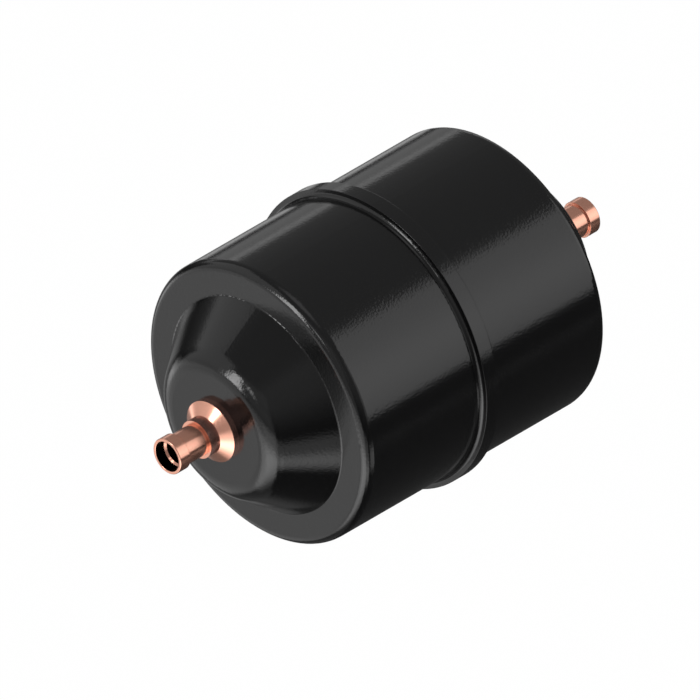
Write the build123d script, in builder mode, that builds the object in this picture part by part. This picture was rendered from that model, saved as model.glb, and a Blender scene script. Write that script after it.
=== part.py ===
"""Bi-flow filter drier: a steel drum with a solder port at each end, check valves and a drying core.

The drum's axis lies along X and its centre is the origin. Each end's pieces are drawn in terms of the
distance out from the drum's centre, so the front end (towards -X) mirrors the rear end (towards +X).
"""

import os
from math import atan2, pi, tan

from build123d import *

os.makedirs("parts", exist_ok=True)

# Drum
drum_length = 100.0
drum_radius = 46.0
wall = 2.3
rim_corner_radius = 3.0
rim_inner_radius = 35.4
rim_foot_radius = 0.6
inner_corner_radius = 0.4

# Boss on each end
boss_height = 17.3
boss_corner_radius = 22.4
boss_shoulder_radius = 8.85
boss_hole_gap = 0.05

# Lap seam between the shells
seam_width = 5.25
seam_gap = 0.2
mouth_edge_radius = 0.12
joggle_radius = 0.5
joggle_run = 1.1
plain_end_gap = 0.2
weld_radius = 1.4
weld_toe = 0.04
weld_clearance = 0.02

# Port bushing
flange_radius = 9.9
flange_thickness = 2.03
cone_height = 2.1
collar_radius = 6.13
collar_length = 3.76
spigot_radius = 7.0
spigot_proud = 1.0
bushing_edge = 0.2

# Port tube
tube_radius = 5.1
tube_wall = 0.95
neck_length = 8.25
cup_radius = 5.8
cup_length = 4.05
socket_radius = 4.8
socket_depth = 3.45
stop_length = 0.5
tube_tail = 1.5
tube_gap = 0.05
lip_radius = 0.25
shoulder_radius = 0.15

# Braze ring inside the boss
braze_width = 1.2
braze_height = 0.9

# Valve plate
plate_thickness = 2.0
plate_edge_gap = 0.3
plate_edge_chamfer = 0.5
outlet_hole_radius = 7.0
plate_collar_wall = 1.2
plate_collar_length = 4.0
inlet_hole_radius = 3.0
inlet_circle_radius = 27.0
inlet_hole_count = 10

# Valves
seat_gap = 0.05
slide_gap = 0.35
inlet_overlap = 1.6
inlet_valve_thickness = 0.8
inlet_travel = 2.5
outlet_valve_radius = 9.5
outlet_valve_thickness = 1.2
outlet_travel = 3.0
stem_radius = 3.0
stem_past_cage = 1.6

# Stamped guard and cage
sheet = 0.8
guard_bore_radius = 13.0
guard_hole_radius = 2.4
guard_hole_count = 8
guard_edge_gap = 0.5
cage_window_width = 6.0
cage_window_count = 6
cage_window_rail = 0.6
cage_vent_radius = 1.3
cage_foot_radius = 19.0

# Rivets
rivet_circle_radius = 16.0
rivet_count = 4
rivet_radius = 1.5
rivet_gap = 0.05
rivet_head_radius = 2.4
rivet_head_height = 1.0

# Core stack
core_radius = 33.0
core_chamfer = 1.0
gasket_thickness = 1.5
neck_gasket_thickness = 1.2
neck_gasket_width = 3.5
collar_slide_gap = 0.25
neck_reach = 6.0
cap_lip_length = 5.2
felt_thickness = 2.0
felt_gap = 0.1
perforated_tube_radius = 7.9
perforated_tube_wall = 0.6
perforation_radius = 1.2
perforation_rows = 9
perforation_columns = 6
perforation_pitch = 7.2
perforated_tube_overrun = 1.8
screen_thickness = 0.5
screen_gap = 0.05
core_bore_gap = 0.1

# Core spring
spring_wire_radius = 0.6
spring_turns = 3.0
spring_neck_gap = 1.05
spring_seat_gap = 0.02

# Stations along the axis, as distances out from the drum's centre
rim_face = drum_length / 2
boss_face = rim_face + boss_height
plate_outer = rim_face - wall
plate_inner = plate_outer - plate_thickness
flange_top = boss_face + flange_thickness
cone_top = flange_top + cone_height
collar_face = cone_top + collar_length
shoulder = collar_face + neck_length
mouth = shoulder + cup_length
spigot_end = boss_face - wall - spigot_proud
tube_start = spigot_end - tube_tail
collar_end = plate_inner - plate_collar_length
cap_outer = plate_inner - neck_gasket_thickness - neck_reach
cap_inner = cap_outer - sheet
core_end = cap_inner - gasket_thickness

# Radii that follow from the pieces they fit
inner_radius = drum_radius - wall
flank_turn = pi / 2 - atan2(rim_inner_radius - boss_corner_radius, boss_height)
corner_step = wall * tan(flank_turn / 2)
plate_radius = inner_radius - plate_edge_gap
plate_collar_radius = outlet_hole_radius + plate_collar_wall
band_radius = drum_radius + seam_gap + wall
ring_bore = inlet_circle_radius - inlet_hole_radius - inlet_overlap
ring_radius = inlet_circle_radius + inlet_hole_radius + inlet_overlap
riser_radius = ring_bore - slide_gap
guard_stop_face = plate_inner - seat_gap - inlet_valve_thickness - inlet_travel - seat_gap
cage_bore = outlet_valve_radius + slide_gap
cage_stop_face = plate_outer + seat_gap + outlet_valve_thickness + outlet_travel + seat_gap
cage_end_hole = stem_radius + slide_gap
neck_bore = plate_collar_radius + collar_slide_gap
neck_radius = neck_bore + sheet
cap_lip_bore = core_radius + felt_gap + felt_thickness + felt_gap
cap_radius = cap_lip_bore + sheet
screen_bore = perforated_tube_radius + screen_gap
screen_radius = screen_bore + screen_thickness
core_bore = screen_radius + core_bore_gap
spring_radius = neck_radius + spring_neck_gap + spring_wire_radius

# Lap seam, as distances from the drum's centre towards the rear
lap_mouth = -seam_width / 2
band_end = seam_width / 2
joggle_end = band_end + joggle_run
joggle_angle = atan2(band_radius - drum_radius, joggle_run)
joggle_step = wall * tan(joggle_angle / 2)
lap_end = band_end - joggle_step - plain_end_gap

# Outside of a shell's end, from the axis to the drum's side
end_points = [
    (boss_face, 0),
    (boss_face, boss_corner_radius),
    (rim_face, rim_inner_radius),
    (rim_face, drum_radius),
]
end_radii = [boss_shoulder_radius, rim_foot_radius, rim_corner_radius]


def profile_plane(side):
    """Plane whose first axis is the distance out from the centre and whose second is the radius."""
    return Plane(origin=(0, 0, 0), x_dir=(side, 0, 0), z_dir=(0, -side, 0))


def face_plane(side, station):
    """Plane across the axis at a station, facing out."""
    return Plane(origin=(side * station, 0, 0), x_dir=(0, 1, 0), z_dir=(side, 0, 0))


def turned_ring(side, start, end, bore, radius):
    """Plain ring from one station to another."""
    with BuildPart() as ring:
        with BuildSketch(face_plane(side, start)):
            Circle(radius)
            Circle(bore, mode=Mode.SUBTRACT)
        extrude(amount=end - start)
    return ring.part


def hole_circle(side, station, circle_radius, hole_radius, count):
    """Sketch of a circle of holes across the axis."""
    with BuildSketch(face_plane(side, station)) as holes:
        with PolarLocations(circle_radius, count):
            Circle(hole_radius)
    return holes.sketch


def hollow_profile(side, end):
    """Half section of the drum's hollow, one wall inside the outside, as far as a station."""
    with BuildSketch(profile_plane(side)) as hollow:
        with BuildLine():
            FilletPolyline(
                (boss_face - wall, 0),
                (boss_face - wall, boss_corner_radius - corner_step),
                (rim_face - wall, rim_inner_radius - corner_step),
                (rim_face - wall, inner_radius),
                (end, inner_radius),
                radius=[boss_shoulder_radius - wall, rim_foot_radius + wall, inner_corner_radius],
            )
            Polyline((end, inner_radius), (end, 0), (boss_face - wall, 0))
        make_face()
    return hollow.sketch


def boss_hole(side):
    """Sketch of the hole in the boss for the bushing's spigot."""
    with BuildSketch(face_plane(side, boss_face)) as hole:
        Circle(spigot_radius + boss_hole_gap)
    return hole.sketch


def front_shell():
    """Drawn cup whose plain end slides into the rear shell's mouth."""
    with BuildPart() as shell:
        with BuildSketch(profile_plane(-1)):
            with BuildLine():
                FilletPolyline(*end_points, (-lap_end, drum_radius), radius=end_radii)
                Polyline((-lap_end, drum_radius), (-lap_end, 0), (boss_face, 0))
            make_face()
        revolve(axis=Axis.X)
        revolve(hollow_profile(-1, -lap_end), axis=Axis.X, mode=Mode.SUBTRACT)
        extrude(boss_hole(-1), amount=-2 * wall, mode=Mode.SUBTRACT)
    return shell.part


def rear_shell():
    """Drawn cup whose widened mouth makes the proud band."""
    mouth_bore = band_radius - wall
    with BuildPart() as shell:
        with BuildSketch(profile_plane(1)):
            with BuildLine():
                FilletPolyline(
                    *end_points,
                    (joggle_end, drum_radius),
                    (band_end, band_radius),
                    (lap_mouth, band_radius),
                    (lap_mouth, mouth_bore),
                    radius=end_radii + [joggle_radius, joggle_radius, mouth_edge_radius],
                )
                Polyline((lap_mouth, mouth_bore), (lap_mouth, 0), (boss_face, 0))
            make_face()
        revolve(axis=Axis.X)
        revolve(hollow_profile(1, joggle_end - joggle_step), axis=Axis.X, mode=Mode.SUBTRACT)
        with BuildSketch(profile_plane(1)):
            with BuildLine():
                Polyline(
                    (lap_mouth, 0),
                    (lap_mouth, mouth_bore),
                    (band_end - joggle_step, mouth_bore),
                    (joggle_end - joggle_step, inner_radius),
                    (joggle_end - joggle_step, 0),
                    close=True,
                )
            make_face()
        revolve(axis=Axis.X, mode=Mode.SUBTRACT)
        extrude(boss_hole(1), amount=-2 * wall, mode=Mode.SUBTRACT)
    return shell.part


def seam_weld():
    """Hollow fillet of weld in the lap's corner, with its root in the gap between the shells."""
    root_bore = drum_radius + weld_clearance
    root_radius = drum_radius + seam_gap - weld_clearance
    back = lap_mouth - weld_clearance
    toe = back - weld_toe - weld_radius
    top = root_bore + weld_toe + weld_radius
    with BuildPart() as weld:
        with BuildSketch(profile_plane(1)):
            with BuildLine():
                Polyline(
                    (toe, root_bore + weld_toe),
                    (toe, root_bore),
                    (lap_end, root_bore),
                    (lap_end, root_radius),
                    (back, root_radius),
                    (back, top),
                    (back - weld_toe, top),
                )
                CenterArc((toe, top), weld_radius, start_angle=270, arc_size=90)
            make_face()
        revolve(axis=Axis.X)
    return weld.part


def port_bushing(side):
    """Turned bushing: spigot through the boss, flange, cone and collar."""
    bore = tube_radius + tube_gap
    with BuildPart() as bushing:
        with BuildSketch(profile_plane(side)) as section:
            with BuildLine():
                Polyline(
                    (spigot_end, bore),
                    (spigot_end, spigot_radius),
                    (boss_face, spigot_radius),
                    (boss_face, flange_radius),
                    (flange_top, flange_radius),
                    (cone_top, collar_radius),
                    (collar_face, collar_radius),
                    (collar_face, bore),
                    close=True,
                )
            make_face()
            rounded = section.vertices().filter_by(
                lambda v: abs(v.Z - flange_radius) < bushing_edge and abs(v.X) > flange_top - bushing_edge
            )
            rounded += section.vertices().filter_by(
                lambda v: abs(v.Z - collar_radius) < bushing_edge and abs(v.X) > collar_face - bushing_edge
            )
            fillet(rounded, radius=bushing_edge)
        revolve(axis=Axis.X)
    return bushing.part


def port_tube(side):
    """Copper tube through the bushing, with a wider socket cup at its end."""
    bore = tube_radius - tube_wall
    stop_face = mouth - socket_depth
    with BuildPart() as tube:
        with BuildSketch(profile_plane(side)):
            with BuildLine():
                FilletPolyline(
                    (tube_start, bore),
                    (tube_start, tube_radius),
                    (shoulder, tube_radius),
                    (shoulder, cup_radius),
                    (mouth, cup_radius),
                    (mouth, socket_radius),
                    (stop_face, socket_radius),
                    (stop_face - stop_length, bore),
                    radius=[0, shoulder_radius, shoulder_radius, lip_radius, lip_radius, 0],
                )
                Line((stop_face - stop_length, bore), (tube_start, bore))
            make_face()
        revolve(axis=Axis.X)
    return tube.part


def braze_ring(side):
    """Fillet of braze round the spigot, against the inside of the boss."""
    inside_face = boss_face - wall
    with BuildPart() as ring:
        with BuildSketch(profile_plane(side)):
            with BuildLine():
                Polyline(
                    (inside_face, spigot_radius),
                    (inside_face, spigot_radius + braze_width),
                    (inside_face - braze_height, spigot_radius),
                    close=True,
                )
            make_face()
        revolve(axis=Axis.X)
    return ring.part


def valve_plate(side):
    """Partition that seats on the inside of the rim, with inlet holes and a drawn outlet collar."""
    with BuildPart() as plate:
        with BuildSketch(face_plane(side, plate_inner)):
            Circle(plate_radius)
        extrude(amount=plate_thickness)
        chamfer(plate.edges().group_by(SortBy.LENGTH)[-1], length=plate_edge_chamfer)
        with BuildSketch(face_plane(side, plate_inner)):
            Circle(plate_collar_radius)
        extrude(amount=-plate_collar_length)
        with BuildSketch(face_plane(side, plate_outer)):
            Circle(outlet_hole_radius)
        extrude(amount=-(plate_thickness + plate_collar_length), mode=Mode.SUBTRACT)
        inlet_holes = hole_circle(side, plate_outer, inlet_circle_radius, inlet_hole_radius, inlet_hole_count)
        extrude(inlet_holes, amount=-plate_thickness, mode=Mode.SUBTRACT)
        rivet_holes = hole_circle(side, plate_outer, rivet_circle_radius, rivet_radius, rivet_count)
        extrude(rivet_holes, amount=-plate_thickness, mode=Mode.SUBTRACT)
    return plate.part


def inlet_valve(side):
    """Flat ring that covers the inlet holes from inside."""
    seat = plate_inner - seat_gap
    return turned_ring(side, seat - inlet_valve_thickness, seat, ring_bore, ring_radius)


def inlet_guard(side):
    """Stamped guard: foot on the plate, riser that guides the ring valve, and stop flange."""
    stop_back = guard_stop_face - sheet
    with BuildPart() as guard:
        with BuildSketch(profile_plane(side)):
            with BuildLine():
                Polyline(
                    (plate_inner, guard_bore_radius),
                    (plate_inner, riser_radius),
                    (guard_stop_face, riser_radius),
                    (guard_stop_face, ring_radius - guard_edge_gap),
                    (stop_back, ring_radius - guard_edge_gap),
                    (stop_back, riser_radius - sheet),
                    (plate_inner - sheet, riser_radius - sheet),
                    (plate_inner - sheet, guard_bore_radius),
                    close=True,
                )
            make_face()
        revolve(axis=Axis.X)
        stop_holes = hole_circle(side, guard_stop_face, inlet_circle_radius, guard_hole_radius, guard_hole_count)
        extrude(stop_holes, amount=-sheet, mode=Mode.SUBTRACT)
        rivet_holes = hole_circle(side, plate_inner, rivet_circle_radius, rivet_radius, rivet_count)
        extrude(rivet_holes, amount=-sheet, mode=Mode.SUBTRACT)
    return guard.part


def outlet_valve(side):
    """Disc with a stem that covers the outlet hole from outside."""
    seat = plate_outer + seat_gap
    stem_end = cage_stop_face + sheet + stem_past_cage
    with BuildPart() as valve:
        with BuildSketch(face_plane(side, seat)):
            Circle(outlet_valve_radius)
        extrude(amount=outlet_valve_thickness)
        with BuildSketch(face_plane(side, seat + outlet_valve_thickness)):
            Circle(stem_radius)
        extrude(amount=stem_end - seat - outlet_valve_thickness)
    return valve.part


def outlet_cage(side):
    """Windowed cup that guides the disc valve and stops it."""
    cage_radius = cage_bore + sheet
    cage_end = cage_stop_face + sheet
    foot_face = plate_outer + sheet
    window_end = cage_stop_face - cage_window_rail
    vent_circle_radius = (cage_end_hole + cage_bore) / 2
    with BuildPart() as cage:
        with BuildSketch(profile_plane(side)):
            with BuildLine():
                Polyline(
                    (plate_outer, cage_bore),
                    (plate_outer, cage_foot_radius),
                    (foot_face, cage_foot_radius),
                    (foot_face, cage_radius),
                    (cage_end, cage_radius),
                    (cage_end, cage_end_hole),
                    (cage_stop_face, cage_end_hole),
                    (cage_stop_face, cage_bore),
                    close=True,
                )
            make_face()
        revolve(axis=Axis.X)
        with BuildSketch(face_plane(side, foot_face)):
            with PolarLocations(cage_bore + sheet / 2, cage_window_count, start_angle=180 / cage_window_count):
                Rectangle(2 * sheet, cage_window_width)
        extrude(amount=window_end - foot_face, mode=Mode.SUBTRACT)
        vents = hole_circle(side, cage_end, vent_circle_radius, cage_vent_radius, cage_window_count)
        extrude(vents, amount=-sheet, mode=Mode.SUBTRACT)
        rivet_holes = hole_circle(side, foot_face, rivet_circle_radius, rivet_radius, rivet_count)
        extrude(rivet_holes, amount=-sheet, mode=Mode.SUBTRACT)
    return cage.part


def rivets(side):
    """Rivets through cage, plate and guard, with a domed head at each end."""
    low = plate_inner - sheet
    high = plate_outer + sheet
    with BuildPart() as group:
        with BuildSketch(face_plane(side, low)):
            with PolarLocations(rivet_circle_radius, rivet_count):
                Circle(rivet_radius - rivet_gap)
        extrude(amount=high - low)
        for start, amount in ((high, rivet_head_height), (low, -rivet_head_height)):
            with BuildSketch(face_plane(side, start)):
                with PolarLocations(rivet_circle_radius, rivet_count):
                    Circle(rivet_head_radius)
            extrude(amount=amount)
        outer_edges = group.edges().filter_by(GeomType.CIRCLE).filter_by(
            lambda e: abs(e.radius - rivet_head_radius) < rivet_gap
        )
        ends = outer_edges.sort_by(Axis.X)
        chamfer(ends[:rivet_count] + ends[-rivet_count:], length=rivet_head_height / 2)
    return group.part


def core_cap(side):
    """Sheet cap over the core's end, with a lip round it and a neck over the plate's collar."""
    lip_end = cap_inner - cap_lip_length
    with BuildPart() as cap:
        with BuildSketch(profile_plane(side)):
            with BuildLine():
                Polyline(
                    (cap_outer + neck_reach, neck_bore),
                    (cap_outer + neck_reach, neck_radius),
                    (cap_outer, neck_radius),
                    (cap_outer, cap_radius),
                    (lip_end, cap_radius),
                    (lip_end, cap_lip_bore),
                    (cap_inner, cap_lip_bore),
                    (cap_inner, neck_bore),
                    close=True,
                )
            make_face()
        revolve(axis=Axis.X)
    return cap.part


def core_gasket(side):
    """Fibre pad between cap and core."""
    return turned_ring(side, core_end, cap_inner, core_bore, core_radius)


def neck_gasket():
    """Seal between the front cap's neck and the front valve plate."""
    bore = neck_bore
    return turned_ring(-1, plate_inner - neck_gasket_thickness, plate_inner, bore, bore + neck_gasket_width)


def core_spring():
    """Coil spring round the rear cap's neck, between the rear valve plate and the rear cap."""
    start = cap_outer + spring_wire_radius + spring_seat_gap
    height = plate_inner - spring_wire_radius - spring_seat_gap - start
    with BuildPart() as spring:
        with BuildLine() as path:
            Helix(height / spring_turns, height, spring_radius, center=(start, 0, 0), direction=(1, 0, 0))
        with BuildSketch(Plane(origin=path.line @ 0, z_dir=path.line % 0)):
            Circle(spring_wire_radius)
        sweep(path=path.line, is_frenet=True)
    return spring.part


def desiccant_core():
    """Moulded block with a bore along its middle."""
    with BuildPart() as core:
        with BuildSketch(face_plane(1, -core_end)):
            Circle(core_radius)
            Circle(core_bore, mode=Mode.SUBTRACT)
        extrude(amount=2 * core_end)
        chamfer(core.edges().filter_by(GeomType.CIRCLE).group_by(SortBy.RADIUS)[-1], length=core_chamfer)
    return core.part


def filter_felt():
    """Felt sleeve round the core, held inside the caps' lips."""
    bore = core_radius + felt_gap
    return turned_ring(1, -cap_inner, cap_inner, bore, bore + felt_thickness)


def core_tube():
    """Perforated tube that the flow leaves the core through."""
    half_length = cap_inner + perforated_tube_overrun
    with BuildPart() as tube:
        with BuildSketch(face_plane(1, -half_length)):
            Circle(perforated_tube_radius)
            Circle(perforated_tube_radius - perforated_tube_wall, mode=Mode.SUBTRACT)
        extrude(amount=2 * half_length)
        for row in range(perforation_rows):
            station = (row - (perforation_rows - 1) / 2) * perforation_pitch
            turn = (row % 2) * 180 / perforation_columns
            for column in range(perforation_columns):
                outward = Vector(0, 1, 0).rotate(Axis.X, turn + column * 360 / perforation_columns)
                with BuildSketch(Plane(origin=(station, 0, 0), x_dir=(1, 0, 0), z_dir=outward)):
                    Circle(perforation_radius)
                extrude(amount=2 * perforated_tube_radius, mode=Mode.SUBTRACT)
    return tube.part


def inner_screen():
    """Fine mesh sleeve between the perforated tube and the core."""
    return turned_ring(1, -cap_inner, cap_inner, screen_bore, screen_radius)


def write(name, piece):
    """Labels a finished piece and writes it as its own file."""
    piece.label = name
    export_step(piece, f"parts/{name}.step")


end_pieces = {
    "port_bushing": port_bushing,
    "port_tube": port_tube,
    "braze_ring": braze_ring,
    "valve_plate": valve_plate,
    "inlet_valve": inlet_valve,
    "inlet_guard": inlet_guard,
    "outlet_valve": outlet_valve,
    "outlet_cage": outlet_cage,
    "rivets": rivets,
    "core_cap": core_cap,
    "core_gasket": core_gasket,
}
single_pieces = {
    "front_shell": front_shell,
    "rear_shell": rear_shell,
    "seam_weld": seam_weld,
    "front_neck_gasket": neck_gasket,
    "core_spring": core_spring,
    "desiccant_core": desiccant_core,
    "filter_felt": filter_felt,
    "core_tube": core_tube,
    "inner_screen": inner_screen,
}

for name, build in single_pieces.items():
    write(name, build())
for end, side in (("front", -1), ("rear", 1)):
    for name, build in end_pieces.items():
        write(f"{end}_{name}", build(side))
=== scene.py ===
"""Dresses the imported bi-flow filter drier and sets the stage for its picture."""

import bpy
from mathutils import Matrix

bl_info = {
    "name": "Filter drier dressing",
    "version": (1, 0, 0),
    "blender": (4, 5, 0),
    "location": "3D View > Sidebar > Drier",
    "description": "Finishes a filter drier: black drum, copper ports, steel valves and drying core",
    "category": "Object",
}

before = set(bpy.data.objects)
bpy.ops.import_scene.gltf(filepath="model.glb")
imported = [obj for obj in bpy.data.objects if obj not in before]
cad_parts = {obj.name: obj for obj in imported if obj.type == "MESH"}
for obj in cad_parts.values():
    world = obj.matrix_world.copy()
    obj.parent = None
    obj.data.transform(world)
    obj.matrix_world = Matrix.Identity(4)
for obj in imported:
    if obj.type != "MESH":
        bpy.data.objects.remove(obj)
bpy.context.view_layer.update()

from math import cos, pi, radians, sin

import bmesh
import bpy
from bpy.props import FloatProperty, FloatVectorProperty, IntProperty, PointerProperty
from mathutils import Vector

# A slow wave under the paint: its width in dimples of the orange peel, and its share of their depth
WAVE_WIDTH = 14
WAVE_HEIGHT = 0.2

# How fast the lathe lines change along their run round the drier, as a share of how fast across them
SLOW_TURN = 0.05

# How far a face looks away from the drier's axis, between -1 and 1, where its painted colour starts to
# change and
# where the change is full: painted light and shade on the outer sides, painted shade in the bores
PAINTED_SIDE_FACING = (0.88, 0.98)
PAINTED_BORE_FACING = (-0.5, -0.8)

# Width of one dull cloud on the copper in metres, the tones of dull copper against clean copper, and the
# turn that draws reflections out across the lathe lines
CLOUD_SIZE = 0.002
DULL_TONES = (0.88, 0.88, 0.88)
QUARTER_TURN = 0.25

# Height of the grain on steel in metres, and the tones of painted shade in the hollows of felt, fibre and
# desiccant
STEEL_GRAIN_HEIGHT = 0.000004
HOLLOW_SHADE_TONES = (0.7, 0.7, 0.7)

# Least and most of each finish's roughness, as shares of its setting
PAINT_SHARES = (0.85, 1.15)
COPPER_SHARES = (0.88, 1.12)
STEEL_SHARES = (0.8, 1.25)

# How much of the floor's look is plain white: the rest takes the light and the shadow
WHITE_SHARE = 0.993


class PaintSettings(bpy.types.PropertyGroup):
    """Stoved black paint on the drum."""

    colour: FloatVectorProperty(
        name="Colour", description="Colour of the paint", subtype="COLOR",
        size=4, min=0, max=1, default=(0.005, 0.005, 0.0052, 1),
    )
    roughness: FloatProperty(
        name="Roughness", description="How far the gloss is blurred", subtype="FACTOR",
        min=0, max=1, default=0.1,
    )
    peel_size: FloatProperty(
        name="Orange peel size", description="Width of one dimple in the paint",
        unit="LENGTH", default=0.0007,
    )
    peel_height: FloatProperty(
        name="Orange peel height", description="Depth of the dimples in the paint",
        unit="LENGTH", precision=6, default=0.000035,
    )


class CopperSettings(bpy.types.PropertyGroup):
    """Bare copper of the bushings and tubes."""

    colour: FloatVectorProperty(
        name="Colour", description="Colour of clean copper", subtype="COLOR",
        size=4, min=0, max=1, default=(0.96, 0.48, 0.35, 1),
    )
    roughness: FloatProperty(
        name="Roughness", description="How far reflections are blurred", subtype="FACTOR",
        min=0, max=1, default=0.19,
    )
    haze: FloatProperty(
        name="Haze", description="Share of the surface that is matt with handling", subtype="FACTOR",
        min=0, max=1, default=0.07,
    )
    grain: FloatProperty(
        name="Grain", description="How much further reflections are drawn out across the lathe lines",
        subtype="FACTOR", min=0, max=1, default=0.2,
    )
    line_width: FloatProperty(
        name="Line width", description="Width of one lathe line",
        unit="LENGTH", precision=5, default=0.0003,
    )
    line_height: FloatProperty(
        name="Line height", description="Depth of the lathe lines",
        unit="LENGTH", precision=7, default=0.0000008,
    )
    # Painted shade: the near-black put on copper faces that look towards the axis, for the shade deep
    # inside the sockets
    bore_shade_colour: FloatVectorProperty(
        name="Scale colour", description="Colour of the scale inside the sockets", subtype="COLOR",
        size=4, min=0, max=1, default=(0.006, 0.003, 0.002, 1),
    )


class SteelSettings(bpy.types.PropertyGroup):
    """Bare steel of the valves, plates and caps."""

    colour: FloatVectorProperty(
        name="Colour", description="Colour of bare steel", subtype="COLOR",
        size=4, min=0, max=1, default=(0.56, 0.56, 0.57, 1),
    )
    roughness: FloatProperty(
        name="Roughness", description="How far reflections are blurred", subtype="FACTOR",
        min=0, max=1, default=0.32,
    )


class CoreSettings(bpy.types.PropertyGroup):
    """Drying core with its felt and gaskets."""

    colour: FloatVectorProperty(
        name="Core colour", description="Colour of the desiccant block", subtype="COLOR",
        size=4, min=0, max=1, default=(0.62, 0.52, 0.39, 1),
    )
    felt_colour: FloatVectorProperty(
        name="Felt colour", description="Colour of the felt sleeve", subtype="COLOR",
        size=4, min=0, max=1, default=(0.78, 0.77, 0.72, 1),
    )
    bead_size: FloatProperty(
        name="Bead size", description="Width of one bound bead of desiccant",
        unit="LENGTH", default=0.0012,
    )


class StageSettings(bpy.types.PropertyGroup):
    """Floor, lamps and camera."""

    frame_width: FloatProperty(
        name="Frame width", description="Width of what the camera sees",
        unit="LENGTH", default=0.2064,
    )
    azimuth: FloatProperty(
        name="Azimuth", description="Direction of view round the drier",
        subtype="ANGLE", default=radians(-45),
    )
    elevation: FloatProperty(
        name="Elevation", description="Height of the camera above the horizon",
        subtype="ANGLE", default=radians(35.264),
    )
    across: FloatProperty(
        name="Across", description="How far the drier stands right of the picture's middle",
        unit="LENGTH", default=0.00793,
    )
    above: FloatProperty(
        name="Above", description="How far the drier stands above the picture's middle",
        unit="LENGTH", default=0.00424,
    )
    floor_drop: FloatProperty(
        name="Floor drop", description="Height of the drier's axis above the floor",
        unit="LENGTH", default=0.4,
    )
    dome: FloatProperty(
        name="Room brightness", description="Brightness of the even light from all round",
        min=0, default=0.6,
    )
    wall_segments: IntProperty(
        name="Wall segments", description="Segments round the studio wall", min=16, default=96,
    )


def new_material(name):
    """New node material: the material, its nodes, its links and its shader."""
    material = bpy.data.materials.new(name)
    material.use_nodes = True
    nodes = material.node_tree.nodes
    return material, nodes, material.node_tree.links, nodes["Principled BSDF"]


def add_node(nodes, kind, **inputs):
    """New node with some inputs set, each named as its socket with spaces as underscores."""
    made = nodes.new(kind)
    for name, value in inputs.items():
        made.inputs[name.replace("_", " ")].default_value = value
    return made


def calculated(nodes, links, operation, first, second=0):
    """Result of a sum of one or two values: each is a socket or a plain number."""
    step = nodes.new("ShaderNodeMath")
    step.operation = operation
    for socket, value in zip(step.inputs, (first, second)):
        if isinstance(value, bpy.types.NodeSocket):
            links.new(value, socket)
        else:
            socket.default_value = value
    return step.outputs["Value"]


def add_noise(nodes, links, place, scale, detail=2.0):
    """Noise over a place, with a scale in features to the metre."""
    noise = add_node(nodes, "ShaderNodeTexNoise", Scale=scale, Detail=detail)
    links.new(place, noise.inputs["Vector"])
    return noise.outputs["Fac"]


def add_range(nodes, links, value, low, high):
    """Value from 0 to 1 spread from low to high."""
    spread = add_node(nodes, "ShaderNodeMapRange", To_Min=low, To_Max=high)
    links.new(value, spread.inputs["Value"])
    return spread.outputs["Result"]


def add_mask(nodes, links, value, none, full):
    """0 where a value has reached none, 1 where it has reached full, and smooth between."""
    mask = add_node(nodes, "ShaderNodeMapRange", From_Min=none, From_Max=full)
    mask.interpolation_type = "SMOOTHSTEP"
    links.new(value, mask.inputs["Value"])
    return mask.outputs["Result"]


def add_bump(nodes, links, height, distance, under=None):
    """Bump from a height between 0 and 1, over another bump's normal if given."""
    bump = add_node(nodes, "ShaderNodeBump", Strength=1.0, Distance=distance)
    links.new(height, bump.inputs["Height"])
    if under is not None:
        links.new(under, bump.inputs["Normal"])
    return bump.outputs["Normal"]


def object_place(nodes):
    """Place on the drier, in metres."""
    return nodes.new("ShaderNodeTexCoord").outputs["Object"]


def lathe_place(nodes, links, line_width):
    """Place across the lathe lines, in lines from the axis and along it, with a slow turn round it."""
    parts = nodes.new("ShaderNodeSeparateXYZ")
    links.new(object_place(nodes), parts.inputs["Vector"])
    sideways = calculated(nodes, links, "MULTIPLY", parts.outputs["Y"], parts.outputs["Y"])
    upwards = calculated(nodes, links, "MULTIPLY", parts.outputs["Z"], parts.outputs["Z"])
    radius = calculated(nodes, links, "SQRT", calculated(nodes, links, "ADD", sideways, upwards))
    joined = nodes.new("ShaderNodeCombineXYZ")
    for source, share, target in (
        (parts.outputs["X"], 1, "X"),
        (radius, 1, "Y"),
        (parts.outputs["Y"], SLOW_TURN, "Z"),
    ):
        place = calculated(nodes, links, "MULTIPLY", source, share / line_width)
        links.new(place, joined.inputs[target])
    return joined.outputs["Vector"]


def outwardness(nodes, links):
    """1 where a face looks straight away from the drier's axis, -1 where it looks at it."""
    outward = nodes.new("ShaderNodeVectorMath")
    outward.operation = "MULTIPLY"
    outward.inputs[1].default_value = (0, 1, 1)
    links.new(object_place(nodes), outward.inputs[0])
    unit = nodes.new("ShaderNodeVectorMath")
    unit.operation = "NORMALIZE"
    links.new(outward.outputs["Vector"], unit.inputs[0])
    facing = nodes.new("ShaderNodeVectorMath")
    facing.operation = "DOT_PRODUCT"
    links.new(unit.outputs["Vector"], facing.inputs[0])
    links.new(nodes.new("ShaderNodeTexCoord").outputs["Normal"], facing.inputs[1])
    return facing.outputs["Value"]


def toned(colour, tones):
    """Colour with its red, green and blue each times a tone."""
    return [channel * tone for channel, tone in zip(colour[:3], tones)] + [1]


def mix_colours(nodes, links, share, first, second):
    """First colour where the share is 0 and second where it is 1: each a socket or a plain colour."""
    mix = nodes.new("ShaderNodeMix")
    mix.data_type = "RGBA"
    links.new(share, mix.inputs["Factor"])
    colour_sockets = [socket for socket in mix.inputs if socket.type == "RGBA"]
    for socket, colour in zip(colour_sockets, (first, second)):
        if isinstance(colour, bpy.types.NodeSocket):
            links.new(colour, socket)
        else:
            socket.default_value = colour
    return next(socket for socket in mix.outputs if socket.type == "RGBA")


def vary_roughness(nodes, links, shader, pattern, roughness, shares):
    """Roughness that follows a pattern from 0 to 1, between two shares of its plain value."""
    low, high = (share * roughness for share in shares)
    links.new(add_range(nodes, links, pattern, low, high), shader.inputs["Roughness"])


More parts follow.
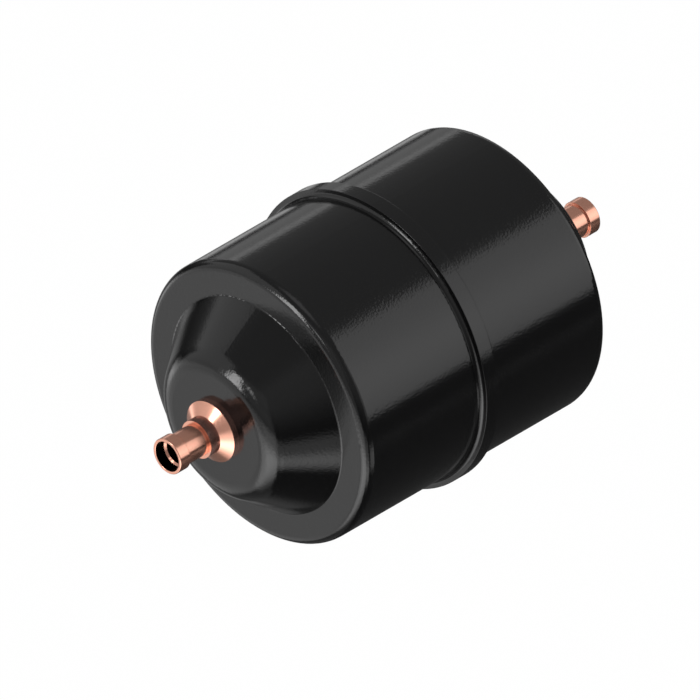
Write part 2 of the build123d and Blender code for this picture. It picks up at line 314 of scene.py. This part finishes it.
def black_paint(settings):
    """Gloss black paint with an orange peel and a slow waviness of the sheet under it."""
    material, nodes, links, shader = new_material("black_paint")
    place = object_place(nodes)
    peel = add_noise(nodes, links, place, 1 / settings.peel_size)
    wave = add_noise(nodes, links, place, 1 / (WAVE_WIDTH * settings.peel_size), detail=1.0)
    slow = add_bump(nodes, links, wave, WAVE_HEIGHT * settings.peel_height)
    links.new(add_bump(nodes, links, peel, settings.peel_height, slow), shader.inputs["Normal"])
    vary_roughness(nodes, links, shader, wave, settings.roughness, PAINT_SHARES)
    shader.inputs["Base Color"].default_value = settings.colour
    shader.inputs["IOR"].default_value = 1.5
    return material


def bare_copper(name, settings, painted_side_tones):
    """Turned copper with lathe lines, painted black shade where it faces the axis, and painted light and
    shade on the sides that face away from it.
    """
    material, nodes, links, shader = new_material(name)
    line = add_noise(nodes, links, lathe_place(nodes, links, settings.line_width), 1.0, detail=3.0)
    cloud = add_noise(nodes, links, object_place(nodes), 1 / CLOUD_SIZE, detail=3.0)
    facing = outwardness(nodes, links)
    # Painted light and shade: copper faces that look away from the axis take another tone
    painted_side_light = add_mask(nodes, links, facing, *PAINTED_SIDE_FACING)
    # Painted shade: copper faces that look towards the axis turn near black, for the shade inside the
    # bores
    painted_bore_shade = add_mask(nodes, links, facing, *PAINTED_BORE_FACING)
    colour = mix_colours(nodes, links, cloud, settings.colour, toned(settings.colour, DULL_TONES))
    # Painted light and shade on the sides facing away from the axis
    colour = mix_colours(nodes, links, painted_side_light, colour, toned(settings.colour, painted_side_tones))
    # Painted shade inside the bores
    colour = mix_colours(nodes, links, painted_bore_shade, colour, settings.bore_shade_colour)
    links.new(colour, shader.inputs["Base Color"])
    links.new(add_bump(nodes, links, line, settings.line_height), shader.inputs["Normal"])
    vary_roughness(nodes, links, shader, line, settings.roughness, COPPER_SHARES)
    shader.inputs["Metallic"].default_value = 1 - settings.haze
    shader.inputs["Anisotropic"].default_value = settings.grain
    shader.inputs["Anisotropic Rotation"].default_value = QUARTER_TURN
    round_axis = nodes.new("ShaderNodeTangent")
    round_axis.direction_type = "RADIAL"
    round_axis.axis = "X"
    links.new(round_axis.outputs["Tangent"], shader.inputs["Tangent"])
    return material


def bare_steel(name, settings, grain):
    """Steel sheet or bar, with a grain in features to the metre."""
    material, nodes, links, shader = new_material(name)
    fine = add_noise(nodes, links, object_place(nodes), grain, detail=4.0)
    links.new(add_bump(nodes, links, fine, STEEL_GRAIN_HEIGHT), shader.inputs["Normal"])
    vary_roughness(nodes, links, shader, fine, settings.roughness, STEEL_SHARES)
    shader.inputs["Base Color"].default_value = settings.colour
    shader.inputs["Metallic"].default_value = 1.0
    return material


def soft_material(name, colour, grain, height, roughness):
    """Matt porous or fibrous stuff, with a grain in features to the metre and its height in metres,
    painted darker in the hollows of the grain as shade.
    """
    material, nodes, links, shader = new_material(name)
    fine = add_noise(nodes, links, object_place(nodes), grain, detail=4.0)
    # Painted shade: the low parts of the grain are darker, as if in shadow
    colour = mix_colours(nodes, links, fine, toned(colour, HOLLOW_SHADE_TONES), colour)
    links.new(colour, shader.inputs["Base Color"])
    links.new(add_bump(nodes, links, fine, height), shader.inputs["Normal"])
    shader.inputs["Roughness"].default_value = roughness
    return material


def finish_node(name, material):
    """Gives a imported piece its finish."""
    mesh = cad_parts[name].data
    mesh.materials.clear()
    mesh.materials.append(material)
    mesh.shade_smooth()


class DRIER_OT_drum(bpy.types.Operator):
    """Paint the two shells and the seam between them"""

    bl_idname = "drier.drum"
    bl_label = "Drum"

    def execute(self, context):
        paint = black_paint(context.scene.drier_paint)
        for name in ("front_shell", "rear_shell", "seam_weld"):
            finish_node(name, paint)
        return {"FINISHED"}


class DRIER_OT_ports(bpy.types.Operator):
    """Finish the copper bushings and tubes and their braze"""

    bl_idname = "drier.ports"
    bl_label = "Ports"

    def execute(self, context):
        settings = context.scene.drier_copper
        # Painted shade darkens the outer sides of the bushings and a painted sheen pales those of the
        # braze; the tubes' sides keep their colour
        bushing = bare_copper("turned_copper", settings, painted_side_tones=(0.8, 0.88, 1.0))
        tube = bare_copper("drawn_copper", settings, painted_side_tones=(1.0, 1.0, 1.0))
        braze = bare_copper("braze", settings, painted_side_tones=(0.9, 1.1, 1.1))
        for end in ("front", "rear"):
            finish_node(f"{end}_port_bushing", bushing)
            finish_node(f"{end}_port_tube", tube)
            finish_node(f"{end}_braze_ring", braze)
        return {"FINISHED"}


class DRIER_OT_valves(bpy.types.Operator):
    """Finish the valve plates, valves, guards, cages and rivets"""

    bl_idname = "drier.valves"
    bl_label = "Valves"

    def execute(self, context):
        settings = context.scene.drier_steel
        plate = bare_steel("rolled_steel", settings, grain=900.0)
        valve = bare_steel("lapped_steel", settings, grain=2500.0)
        stamped = bare_steel("stamped_steel", settings, grain=1500.0)
        for end in ("front", "rear"):
            finish_node(f"{end}_valve_plate", plate)
            for piece in ("inlet_valve", "outlet_valve"):
                finish_node(f"{end}_{piece}", valve)
            for piece in ("inlet_guard", "outlet_cage", "rivets"):
                finish_node(f"{end}_{piece}", stamped)
        return {"FINISHED"}


class DRIER_OT_core(bpy.types.Operator):
    """Finish the drying core, its felt, gaskets, caps, tube, screen and spring"""

    bl_idname = "drier.core"
    bl_label = "Core"

    def execute(self, context):
        settings = context.scene.drier_core
        steel = bare_steel("cap_steel", context.scene.drier_steel, grain=1200.0)
        beads = 1 / settings.bead_size
        fibres = settings.felt_colour
        block = soft_material("desiccant", settings.colour, grain=beads, height=0.0004, roughness=0.9)
        felt = soft_material("felt", fibres, grain=2500.0, height=0.0005, roughness=1.0)
        board = soft_material("fibre_board", fibres, grain=1500.0, height=0.0001, roughness=0.85)
        for name in ("front_core_cap", "rear_core_cap", "core_tube", "inner_screen", "core_spring"):
            finish_node(name, steel)
        for name in ("front_core_gasket", "rear_core_gasket", "front_neck_gasket"):
            finish_node(name, board)
        finish_node("desiccant_core", block)
        finish_node("filter_felt", felt)
        return {"FINISHED"}


def lathe(name, outline, segments):
    """Mesh turned about the vertical from an outline of (radius, height) points, closed at its first."""
    mesh = bpy.data.meshes.new(name)
    made = bmesh.new()
    rings = []
    for radius, height in outline:
        ring = []
        for index in range(segments):
            angle = 2 * pi * index / segments
            ring.append(made.verts.new((radius * cos(angle), radius * sin(angle), height)))
        rings.append(ring)
    for inner, outer in zip(rings, rings[1:]):
        for index in range(segments):
            after = (index + 1) % segments
            made.faces.new((inner[index], outer[index], outer[after], inner[after]))
    made.faces.new(rings[0])
    made.to_mesh(mesh)
    made.free()
    mesh.shade_smooth()
    return mesh


def link(thing, name):
    """Object for a mesh, lamp or camera, in the scene."""
    made = bpy.data.objects.new(name, thing)
    bpy.context.scene.collection.objects.link(made)
    return made


def white_studio():
    """Pale matt floor that looks white to the eye and in reflections, with a trace of shadow."""
    material, nodes, links, shader = new_material("white_studio")
    shader.inputs["Base Color"].default_value = (0.8, 0.8, 0.8, 1)
    shader.inputs["Roughness"].default_value = 1.0
    shader.inputs["Specular IOR Level"].default_value = 0.0
    rays = nodes.new("ShaderNodeLightPath")
    seen = rays.outputs["Is Camera Ray"]
    for kind in ("Is Glossy Ray", "Is Transmission Ray"):
        seen = calculated(nodes, links, "MAXIMUM", seen, rays.outputs[kind])
    white = calculated(nodes, links, "MULTIPLY", seen, WHITE_SHARE)
    glow = add_node(nodes, "ShaderNodeEmission", Strength=1.0)
    mixed = nodes.new("ShaderNodeMixShader")
    links.new(white, mixed.inputs["Fac"])
    links.new(shader.outputs["BSDF"], mixed.inputs[1])
    links.new(glow.outputs["Emission"], mixed.inputs[2])
    links.new(mixed.outputs["Shader"], nodes["Material Output"].inputs["Surface"])
    return material


def softbox(name, direction, distance, side, radiance):
    """Square lamp that faces the drier from a direction, with a brightness per unit of its face."""
    lamp = bpy.data.lights.new(name, "AREA")
    lamp.shape = "SQUARE"
    lamp.size = side
    lamp.energy = radiance * pi * side * side
    made = link(lamp, name)
    made.location = Vector(direction).normalized() * distance
    made.rotation_euler = Vector(direction).to_track_quat("Z", "Y").to_euler()
    made.visible_camera = False
    made.visible_glossy = False


# Panels of light in the studio, as polished faces see them. Each has the middle and half size of its turn,
# in degrees from the near end towards the right-hand side, and of its rise in degrees, then how far it
# leans, as degrees of turn for each degree of rise, the width of its soft edge and its brightness.
STUDIO_PANELS = {
    "ceiling": ((0, 200), (60, 55), 0, 15, 0.25),
    "overhead": ((0, 200), (90, 17), 0, 8, 0.7),
    "high_wall": ((-56, 34), (28, 17), 0, 4, 0.65),
    "low_wall": ((-47, 25), (-2, 13), 0, 4, 0.7),
    "near_wall": ((10, 26), (10, 27.5), 0, 6, 0.22),
    "near_wall_foot": ((12, 24), (-1, 9), 0, 6, 0.16),
    "camera_side": ((45, 16), (33, 14), 0, 10, 0.1),
    "near_lamp": ((-22, 6), (11, 17), 0.3, 2, 8.0),
    "small_lamp": ((2, 4), (19, 5), 0, 2, 3.5),
    "white_floor": ((-26, 61), (-36.5, 23.5), 0, 5, 0.95),
    "white_floor_right": ((20, 20), (-18, 7), 0, 5, 0.45),
    "floor_left": ((-60, 20), (-39, 15), 0, 8, 0.15),
    "floor_right": ((50, 15), (-33, 16), 0, 5, 0.75),
    "floor_middle": ((46, 18), (-40, 5), 0, 6, 0.65),
    "floor_below": ((2, 27), (-62, 5), 0, 9, 0.7),
    "low_lamp": ((3, 32), (-41, 14), 0, 7, 1.5),
    "low_lamp_middle": ((8, 18), (-37, 9), 0, 8, 1.3),
    "low_lamp_right": ((40, 14), (-39, 7), 0, 8, 0.6),
    "low_lamp_edge": ((60, 11), (-41, 8), 0, 6, 0.8),
    "floor_glare": ((-76, 9), (-24, 5), 0, 6, 1.4),
    "floor_behind": ((-112, 20), (-37, 20), 0, 5, 0.28),
    "dark_floor": ((-55, 80), (-76, 14), 0, 6, 0.14),
    "floor_strip": ((103, 22), (-30, 8), 0, 4, 1.1),
    "high_strip": ((-118, 28), (9, 3), 0, 2, 0.55),
    "side_strip": ((-135, 16), (9, 3), 0, 2, 0.38),
    "middle_strip": ((-135, 16), (-2, 7), 0, 2, 0.45),
    "low_strip": ((-135, 16), (-20, 4), 0, 2, 0.5),
    "softbox": ((141, 21.5), (19.95, 25.35), 0, 0.5, 1.15),
    "softbox_middle": ((141, 21.5), (15, 14), 0, 14, 0.4),
    "softbox_side": ((112, 9), (17, 22), 0, 5, 0.5),
}
# Brightness of the studio between its panels
GAP_LIGHT = 0.06


def within(nodes, links, angle, middle, half, soft):
    """1 where an angle in radians lies within a range given in degrees, with a soft edge down to 0."""
    away = calculated(nodes, links, "SUBTRACT", angle, radians(middle))
    away = calculated(nodes, links, "ABSOLUTE", away)
    return add_mask(nodes, links, away, radians(half + soft), radians(half - soft))


def room_seen(nodes, links):
    """Brightness of the studio in each direction, as polished faces show it."""
    ray = nodes.new("ShaderNodeSeparateXYZ")
    links.new(nodes.new("ShaderNodeTexCoord").outputs["Generated"], ray.inputs["Vector"])
    back = calculated(nodes, links, "MULTIPLY", ray.outputs["X"], -1)
    right = calculated(nodes, links, "MULTIPLY", ray.outputs["Y"], -1)
    turn = calculated(nodes, links, "ARCTAN2", right, back)
    rise = calculated(nodes, links, "ARCSINE", ray.outputs["Z"])
    seen = GAP_LIGHT
    for (turn_middle, turn_half), (rise_middle, rise_half), lean, soft, light in STUDIO_PANELS.values():
        panel_turn = turn
        if lean:
            leaned = calculated(nodes, links, "MULTIPLY", rise, lean)
            panel_turn = calculated(nodes, links, "SUBTRACT", turn, leaned)
        across = within(nodes, links, panel_turn, turn_middle, turn_half, soft)
        upright = within(nodes, links, rise, rise_middle, rise_half, soft)
        panel = calculated(nodes, links, "MULTIPLY", across, upright)
        seen = calculated(nodes, links, "ADD", calculated(nodes, links, "MULTIPLY", panel, light), seen)
    return seen


class DRIER_OT_stage(bpy.types.Operator):
    """Make the floor, the room, the lamps and the camera"""

    bl_idname = "drier.stage"
    bl_label = "Stage"

    def execute(self, context):
        settings = context.scene.drier_stage
        self.floor(settings)
        self.room(context.scene, settings)
        self.lamps()
        self.camera(context.scene, settings)
        return {"FINISHED"}

    def floor(self, settings):
        """Round floor that curves up into a low wall."""
        level = -settings.floor_drop
        reach = 3.0
        bend = 0.4
        bend_steps = 12
        wall_top = 0.5
        outline = [(reach * share, level) for share in (0.02, 0.3, 0.6)]
        for step in range(bend_steps + 1):
            turn = pi / 2 * step / bend_steps
            outline.append((reach - bend + bend * sin(turn), level + bend - bend * cos(turn)))
        outline.append((reach, wall_top))
        mesh = lathe("studio_floor", outline, settings.wall_segments)
        mesh.materials.append(white_studio())
        floor = link(mesh, "studio_floor")
        floor.visible_glossy = False

    def room(self, scene, settings):
        """Even light from all round, in which polished faces see a studio."""
        world = bpy.data.worlds.new("room")
        world.use_nodes = True
        nodes = world.node_tree.nodes
        links = world.node_tree.links
        plain = nodes["Background"]
        plain.inputs["Color"].default_value = (1, 1, 1, 1)
        plain.inputs["Strength"].default_value = settings.dome
        studio = nodes.new("ShaderNodeBackground")
        links.new(room_seen(nodes, links), studio.inputs["Strength"])
        white = add_node(nodes, "ShaderNodeBackground", Strength=1.0)
        rays = nodes.new("ShaderNodeLightPath")
        shown = plain.outputs["Background"]
        for kind, other in (
            ("Is Glossy Ray", studio), ("Is Transmission Ray", studio), ("Is Camera Ray", white),
        ):
            mixed = nodes.new("ShaderNodeMixShader")
            links.new(rays.outputs[kind], mixed.inputs["Fac"])
            links.new(shown, mixed.inputs[1])
            links.new(other.outputs["Background"], mixed.inputs[2])
            shown = mixed.outputs["Shader"]
        links.new(shown, nodes["World Output"].inputs["Surface"])
        scene.world = world
        scene.view_settings.view_transform = "Standard"

    def lamps(self):
        """Soft lamps on the right and left, for the shading of matt faces and the floor."""
        softbox("lamp_right", (0.577, -0.70, 0.42), distance=1.6, side=1.2, radiance=1.2)
        softbox("lamp_left", (-0.9, 0.1, 0.5), distance=1.6, side=1.0, radiance=0.6)

    def camera(self, scene, settings):
        """Camera with parallel lines of sight, along the photograph's direction."""
        distance = 0.8
        turn = settings.azimuth
        rise = settings.elevation
        back = Vector((sin(turn) * cos(rise), -cos(turn) * cos(rise), sin(rise)))
        right = Vector((cos(turn), sin(turn), 0))
        up = back.cross(right)
        lens = bpy.data.cameras.new("camera")
        lens.type = "ORTHO"
        lens.ortho_scale = settings.frame_width
        camera = link(lens, "camera")
        camera.location = distance * back - settings.across * right - settings.above * up
        camera.rotation_euler = back.to_track_quat("Z", "Y").to_euler()
        scene.camera = camera


class DRIER_PT_dressing(bpy.types.Panel):
    """Lists the steps that dress the drier, with what each may be set to."""

    bl_idname = "DRIER_PT_dressing"
    bl_label = "Filter drier"
    bl_space_type = "VIEW_3D"
    bl_region_type = "UI"
    bl_category = "Drier"

    def draw(self, context):
        for step, group in STEPS:
            box = self.layout.box()
            box.operator(step.bl_idname)
            settings = getattr(context.scene, group)
            for name in settings.__annotations__:
                box.prop(settings, name)


SETTINGS = {
    "drier_paint": PaintSettings,
    "drier_copper": CopperSettings,
    "drier_steel": SteelSettings,
    "drier_core": CoreSettings,
    "drier_stage": StageSettings,
}
STEPS = (
    (DRIER_OT_drum, "drier_paint"),
    (DRIER_OT_ports, "drier_copper"),
    (DRIER_OT_valves, "drier_steel"),
    (DRIER_OT_core, "drier_core"),
    (DRIER_OT_stage, "drier_stage"),
)


def register():
    """Adds the settings, the steps and the panel."""
    for name, group in SETTINGS.items():
        bpy.utils.register_class(group)
        setattr(bpy.types.Scene, name, PointerProperty(type=group))
    for step, group in STEPS:
        bpy.utils.register_class(step)
    bpy.utils.register_class(DRIER_PT_dressing)


def unregister():
    """Takes them away again."""
    bpy.utils.unregister_class(DRIER_PT_dressing)
    for step, group in reversed(STEPS):
        bpy.utils.unregister_class(step)
    for name, group in SETTINGS.items():
        delattr(bpy.types.Scene, name)
        bpy.utils.unregister_class(group)


def main():
    """Dresses the drier, one step after another."""
    register()
    bpy.ops.drier.drum()
    bpy.ops.drier.ports()
    bpy.ops.drier.valves()
    bpy.ops.drier.core()
    bpy.ops.drier.stage()


if __name__ == "__main__":
    main()
